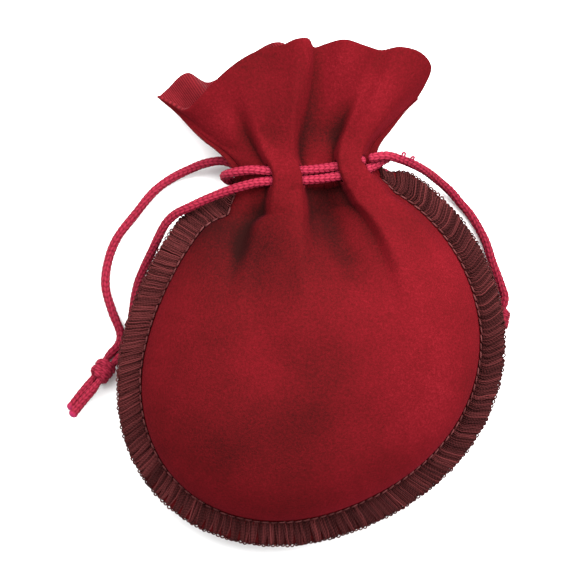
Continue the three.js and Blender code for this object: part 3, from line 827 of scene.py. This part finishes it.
def outline_rows(front, u, v):
    """The panel's outline at the flange's outer edge, beside each point of the inner grid's left side, foot
    and right side in turn. The two panels' outlines touch."""
    up_or_down = 1 if front else -1
    edge = FRONT_EDGE if front else BACK_EDGE
    ends = RIM_ANGLES["left"][0], RIM_ANGLES["right"][0] + 360
    foot = rim_point(blend_of(*ends, u[1:-1]), 0)
    down, up = v[::-1], v
    plan = np.vstack([side_point("left", down), foot, side_point("right", up)])
    rise = np.concatenate([down, np.zeros(len(u) - 2), up])
    free = np.concatenate([np.full(len(v), edge[0][3]), np.zeros(len(u) - 2), np.full(len(v), edge[-1][3])])
    free = free - up_or_down * TOUCH_GAP / 2
    height = blend_of(seam_height(rise) + up_or_down * CLOTH / 2, free, smoothstep(rise, SLIT_HIGH, 1))
    return np.column_stack([plan, height])


def cloth_hollows(points):
    """How far each point lies below the mean of its neighbourhood, 0 to 1: the strength of the painted shade
    in the cloth's hollows.
    """
    height = points[..., 2]
    spread = height.copy()
    for _ in range(HOLLOW_REACH):
        middle = spread[1:-1, 1:-1]
        around = spread[:-2, 1:-1] + spread[2:, 1:-1] + spread[1:-1, :-2] + spread[1:-1, 2:]
        spread[1:-1, 1:-1] = middle * 0.2 + around * 0.2
    return np.clip((spread - height) / HOLLOW_DEPTH, 0, 1)


def beside_cord(points):
    """Whether each point is within reach of a cord, so that the cloth opens just wide enough for it."""
    lines = np.vstack([even_path(route, CORD_LINE_STEP)[0] for route in ROUTES.values()])
    lines = lines[(lines[:, 1] > NECK_FROM) & (np.abs(lines[:, 0]) < NECK_TO_SIDE)]
    flat = points.reshape(-1, 3)
    away = np.min([np.linalg.norm(flat - at, axis=1) for at in lines], axis=0)
    return (away < SLIT_CLEARANCE).reshape(points.shape[:-1])


def panel(name, front, finish):
    """One velvet panel: the filled part on a grid, and the flange round it, joined point to point."""
    u, v = np.linspace(0, 1, GRID_ACROSS), np.linspace(0, 1, GRID_UPWARD)
    inner = panel_surface(front, u, v)
    rows, columns = len(v), len(u)
    number = np.arange(rows * columns).reshape(rows, columns)
    rim = np.concatenate([number[::-1, 0], number[0, 1:-1], number[:, -1]])
    outer = outline_rows(front, u, v)
    inner_flat = inner.reshape(-1, 3)
    shares = np.linspace(0, 1, FLANGE_COLUMNS, endpoint=False)
    flange = outer[:, None] + (inner_flat[rim] - outer)[:, None] * shares[None, :, None]
    flange_number = rows * columns + np.arange(len(rim) * len(shares)).reshape(len(rim), len(shares))
    flange_number = np.hstack([flange_number, rim[:, None]])
    points = np.vstack([inner_flat, flange.reshape(-1, 3)])
    quads = grid_quads(rows, columns)
    mid_u = (u[1:] + u[:-1]) / 2
    mid_v = (v[1:] + v[:-1]) / 2
    flanks = np.array(PLEATS).reshape(-1, 2)
    beside = ((mid_u > flanks[:, :1]) & (mid_u < flanks[:, 1:])).any(axis=0)
    slit = beside[None, :] & ((mid_v > SLIT_LOW) & (mid_v < SLIT_HIGH))[:, None]
    middles = (inner[1:, 1:] + inner[:-1, :-1]) / 2
    slit[slit] = beside_cord(middles[slit])
    quads = quads[~slit.ravel()]
    low, high = flange_number[:-1], flange_number[1:]
    strip = np.stack([low[:, :-1], high[:, :-1], high[:, 1:], low[:, 1:]], axis=-1)
    faces = np.vstack([quads, strip.reshape(-1, 4)])
    if not front:
        faces = faces[:, ::-1]
    # painted shade in the front's hollows; the back gets none
    painted_shade = cloth_hollows(inner).ravel() if front else np.zeros(rows * columns)
    painted_shade = np.concatenate([painted_shade, np.zeros(flange.size // 3)])
    # painted shade on the flange's velvet under the threads, lifted by painted light at the lower left,
    # joined to the front's painted light and shade
    flange_painted_shade = FLANGE_PAINTED_SHADE * (1 - smoothstep(flange[..., 1], *FLANGE_PAINTED_SHADE_END))
    flange_painted_shade = flange_painted_shade + painted_patches(flange[..., :2], FLANGE_PAINTED_LIGHT)
    painted_light_and_shade = np.concatenate([painted_patches(inner[..., :2], FRONT_PAINTED_LIGHT_AND_SHADE if front else []).ravel(), flange_painted_shade.ravel()])
    piece = make_piece(f"{name}_velvet", points, faces.tolist(), finish, {"painted_shade": painted_shade, "painted_light_and_shade": painted_light_and_shade})
    layer = piece.data.uv_layers.new(name="cloth")
    corners = np.empty(len(piece.data.loops), np.int32)
    piece.data.loops.foreach_get("vertex_index", corners)
    cloth_at = points[:, :2] * MM
    layer.data.foreach_set("uv", cloth_at[corners].astype(np.float32).ravel())
    wall = piece.modifiers.new("cloth", "SOLIDIFY")
    wall.thickness = CLOTH * MM
    wall.offset = 0
    wall.material_offset = 1
    wall.material_offset_rim = 1
    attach(piece, "pouch")
    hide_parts(f"{name}_panel")
    return piece, inner


# ---- The overlocked seam ----
STITCH = 2.25
STITCH_TOP = (0.79, 0.806)  # the share of the height where the stitches end, at the left and at the right
PLIES = 3
PLY = 0.4  # a ply's thickness
GATHERING = ((0.27, 1), (0.34, 0.68), (0.5, 0.68), (0.6, 1))  # how far the stitches open out at the edge
LOOPER_SIDES = 5
# painted light and shade along the seam: lighter near the left end, darker round the foot and on the right
LOOPER_PAINTED_LIGHT_AND_SHADE = ((0, 0.12), (0.22, 0.1), (0.34, -0.2), (0.5, -0.22), (0.7, -0.28), (1, -0.15))  # along it
LOOPER_SLANT = (0.1, 0.42)  # at the left and on the right
SLANT_CHANGE = (0.45, 0.8)  # where along the seam it goes from one to the other
SLANT_AXIS = 4.7  # the inset that the slant turns round
CHEVRON, CHEVRON_START = 1.9, 3.4  # on the right the stitches' inner ends turn back, from this inset on
CHEVRON_CHANGE = (0.55, 0.75)
STITCH_SCATTER = 0.13
PLY_SCATTER = 0.04
SUNK = (-0.22, 0.12)  # how far a strand lies below or above its neighbours
STRAND_TONE = (0.48, 0.28)  # mean and spread
PLY_TWIST = 0.7  # length of one turn
ARCH_RINGS, ARCH_SIDES, ARCH_TWIST = 9, 6, 3  # of one small stitch or loop
EDGE_LOOP = 1.125  # the distance between two loops
NEEDLE_INSET = 5.3


def seam_path():
    """The seam as a function: distance along it, inset and height above its middle give a point, and the
    outward direction there."""
    outer, rise = boundary(STITCH_TOP, 0)
    inner, _ = boundary(STITCH_TOP, 1)
    along = length_along(outer)
    height = seam_height(rise)

    def at(distance, inset, lift):
        o = np.stack([np.interp(distance, along, outer[:, k]) for k in (0, 1)], axis=-1)
        n = np.stack([np.interp(distance, along, inner[:, k]) for k in (0, 1)], axis=-1)
        plan = o + (n - o) * (inset / FLANGE)[..., None]
        point = np.concatenate([plan, (np.interp(distance, along, height) + lift)[..., None]], axis=-1)
        outward = unit(np.concatenate([o - n, np.zeros_like(lift)[..., None]], axis=-1))
        return point, outward

    return at, along[-1]


# One looper stitch: share of the stitch, inset from the edge, height over the seam's middle, and how far the
# plies spread.
LOOPER_STITCH = np.array([
    (-0.1, 5.2, 1.1, 0.9), (-0.04, 4.8, 1.3, 1.0), (0.06, 3.7, 1.42, 1.0), (0.13, 2.7, 1.44, 1.0),
    (0.19, 1.6, 1.38, 1.0), (0.25, 0.5, 1.22, 1.0), (0.3, -0.12, 0.75, 1.0), (0.5, -0.3, 0.1, 0.5),
    (0.7, -0.12, 0.7, 1.0), (0.75, 0.5, 1.14, 1.0), (0.72, 1.6, 1.24, 1.0), (0.66, 2.7, 1.26, 1.0),
    (0.58, 3.7, 1.24, 1.0), (0.53, 5.0, 1.12, 0.9),
])


def looper_thread(name, side, phase, finish):
    """A looper thread as three plies: each runs from the needle line out over the edge and back once in
    every stitch, and they lie side by side, closer at the edge. side is 1 for the upper face, -1 below."""
    at, length = seam_path()
    rng = np.random.default_rng(11 if side > 0 else 12)
    stitches = int(length / STITCH) - 1
    steps = len(LOOPER_STITCH)
    which = np.repeat(np.arange(stitches), steps)
    local = np.tile(LOOPER_STITCH, (stitches, 1))
    shift = np.repeat(rng.normal(0, STITCH_SCATTER, stitches), steps)
    reach = np.repeat(rng.normal(0, STITCH_SCATTER, stitches), steps)
    ply = np.arange(PLIES)[:, None]
    direction = np.where(local[:, 0] < 0.5, 1, -1)
    share = (which + 0.5) * STITCH / length
    gathered = blend_of(1, np.interp(share, *zip(*GATHERING)), smoothstep(local[:, 1], 3, 0.3))
    spread = (ply - (PLIES - 1) / 2) * PLY * local[:, 3] * direction * gathered
    slack = rng.normal(0, PLY_SCATTER, (PLIES, len(which)))
    inset = local[:, 1] + reach * (local[:, 1] < 1) + slack
    place = 0.5 + (local[:, 0] - 0.5) * gathered
    distance = (which + place + phase + 0.5) * STITCH + shift + spread + slack
    slant = blend_of(*LOOPER_SLANT, smoothstep(distance / length, *SLANT_CHANGE))
    turned = CHEVRON * smoothstep(distance / length, *CHEVRON_CHANGE)
    turned_back = turned * np.maximum(inset - CHEVRON_START, 0)
    distance = distance + (SLANT_AXIS - inset + turned_back) * slant
    sunk = rng.uniform(*SUNK, (PLIES, 2 * stitches)).repeat(steps // 2, axis=1)
    lift = side * (local[:, 2] + sunk + slack * 0.8)
    path, outward = at(distance, inset, lift)
    facing = unit(outward + np.array([0, 0, side]))
    radius = np.full((PLIES, len(which), LOOPER_SIDES), PLY * 0.47)
    rings = tube_rings(path, radius, facing)
    strand = rng.normal(*STRAND_TONE, (PLIES, 2 * stitches)).repeat(steps // 2, axis=1)
    # each strand's own tone, plus painted light on raised strands, painted shade on sunk ones, and painted
    # light and shade along the seam
    shade = np.clip(strand + 1.2 * sunk + np.interp(share, *zip(*LOOPER_PAINTED_LIGHT_AND_SHADE)), 0, 1)
    shade = np.repeat(shade[..., None], LOOPER_SIDES, axis=2)
    along = np.cumsum(np.linalg.norm(np.diff(path, axis=1, prepend=path[:, :1]), axis=2), axis=1)
    twist = along[..., None] / PLY_TWIST + np.arange(LOOPER_SIDES) / LOOPER_SIDES
    faces = tube_faces(PLIES, len(which), LOOPER_SIDES)
    piece = make_piece(name + "_plies", rings.reshape(-1, 3), faces, [finish],
                       {"shade": shade, "twist": twist})
    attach(piece, "pouch")
    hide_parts(name)


def stitch_arches(name, path, radius, tones, rng, finish):
    """Thin tubes along short arches, each arch its own shade, whose twist runs on along it."""
    count = len(path)
    rings = tube_rings(path, np.full((count, ARCH_RINGS, ARCH_SIDES), radius), UP)
    shade = np.repeat(np.repeat(rng.uniform(*tones, (count, 1, 1)), ARCH_RINGS, axis=1), ARCH_SIDES, axis=2)
    share = np.linspace(0, 1, ARCH_RINGS)
    twist = share[None, :, None] * ARCH_TWIST + np.arange(ARCH_SIDES) / ARCH_SIDES + 0 * shade
    piece = make_piece(name, rings.reshape(-1, 3), tube_faces(count, ARCH_RINGS, ARCH_SIDES), [finish],
                       {"shade": shade, "twist": twist})
    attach(piece, "pouch")
    return piece


def half_round(share):
    """0 at both ends and 1 in the middle, as a half circle."""
    return np.sqrt(np.clip(1 - (2 * share - 1) ** 2, 0, 1))


def edge_loops(finish):
    """Small loops of thread that stand out from the edge, each an arch over half a stitch."""
    at, length = seam_path()
    rng = np.random.default_rng(31)
    loops = int(length / EDGE_LOOP) - 1
    share = np.linspace(0, 1, ARCH_RINGS)
    distance = (np.arange(loops)[:, None] + 0.05 + 0.9 * share + 0.5) * EDGE_LOOP
    distance = distance + rng.normal(0, 0.07, (loops, 1))
    inset = -0.05 - half_round(share) * rng.uniform(0.4, 0.75, (loops, 1))
    lift = 0.25 + rng.normal(0, 0.15, (loops, 1)) + 0.3 * (share - 0.5)
    stitch_arches("edge_loops", at(distance, inset, lift)[0], 0.17, (0.1, 0.6), rng, finish)


def needle_stitches(finish):
    """The needle thread's stitches on the upper face: short arches that dive into the cloth at both ends."""
    at, length = seam_path()
    rng = np.random.default_rng(21)
    stitches = int(length / STITCH) - 1
    share = np.linspace(0, 1, ARCH_RINGS)
    distance = (np.arange(stitches)[:, None] + 0.12 + 0.76 * share + 0.5) * STITCH
    distance = distance + rng.normal(0, 0.05, (stitches, 1))
    inset = NEEDLE_INSET + rng.normal(0, 0.06, (stitches, 1)) + 0.12 * (share - 0.5)
    lift = 1.05 + 0.5 * half_round(share) + 0 * distance
    path = at(distance, inset, lift)[0]
    piece = stitch_arches("needle_thread_stitches", path, 0.19, (0.2, 0.9), rng, finish)
    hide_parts("needle_thread")


# ---- The studio ----
FLOOR_HALF, FLOOR_HEIGHT = 1.4, -0.0001  # in metres, as are the lights' places and sizes
LIGHTS = [("key", (0.4, 0.3, 0.62), 0.75, 21), ("fill", (-0.35, 0.35, 0.6), 0.5, 8)]
LIGHTS_AIM = np.array([0, 0, 0.01])
WORLD_STRENGTH = 0.85

def floor():
    size, low = FLOOR_HALF, FLOOR_HEIGHT
    corners = [(-size, -size, low), (size, -size, low), (size, size, low), (-size, size, low)]
    mesh = bpy.data.meshes.new("floor")
    mesh.from_pydata(corners, [], [(0, 1, 2, 3)])
    finish = Finish("pale_floor", Base_Color=(0.9, 0.9, 0.9, 1), Roughness=0.9, Specular_IOR_Level=0.1)
    mesh.materials.append(finish.material)
    piece = bpy.data.objects.new("floor", mesh)
    bpy.context.collection.objects.link(piece)


def area_light(name, at, size, power):
    data = bpy.data.lights.new(name, "AREA")
    data.size = size
    data.energy = power
    lamp = bpy.data.objects.new(name, data)
    lamp.location = at
    target = LIGHTS_AIM - np.array(at)
    yaw = math.atan2(target[1], target[0])
    pitch = math.atan2(-target[2], math.hypot(target[0], target[1]))
    lamp.rotation_euler = (math.pi / 2 - pitch, 0, yaw - math.pi / 2)
    bpy.context.collection.objects.link(lamp)


def studio():
    floor()
    world = bpy.data.worlds.new("studio")
    world.use_nodes = True
    world.node_tree.nodes["Background"].inputs["Color"].default_value = (1, 1, 1, 1)
    world.node_tree.nodes["Background"].inputs["Strength"].default_value = WORLD_STRENGTH
    bpy.context.scene.world = world
    bpy.context.scene.view_settings.view_transform = "Standard"
    for light in LIGHTS:
        area_light(*light)


# ---- The pouch ----
overhead_camera()
drawstrings()
velvet, twill = velvet_finish(), twill_finish()
front_panel, front_grid = panel("front", True, [velvet, twill])
back_panel, back_grid = panel("back", False, [velvet, twill])
looper = thread_finish("looper_thread", (0.01, 0.0022, 0.0022), (0.085, 0.017, 0.0175))
looper_thread("upper_looper_thread", 1, 0.0, looper)
looper_thread("lower_looper_thread", -1, 0.5, looper)
edge_loops(looper)
needle_stitches(thread_finish("needle_thread", (0.04, 0.01, 0.01), (0.12, 0.035, 0.035)))

studio()
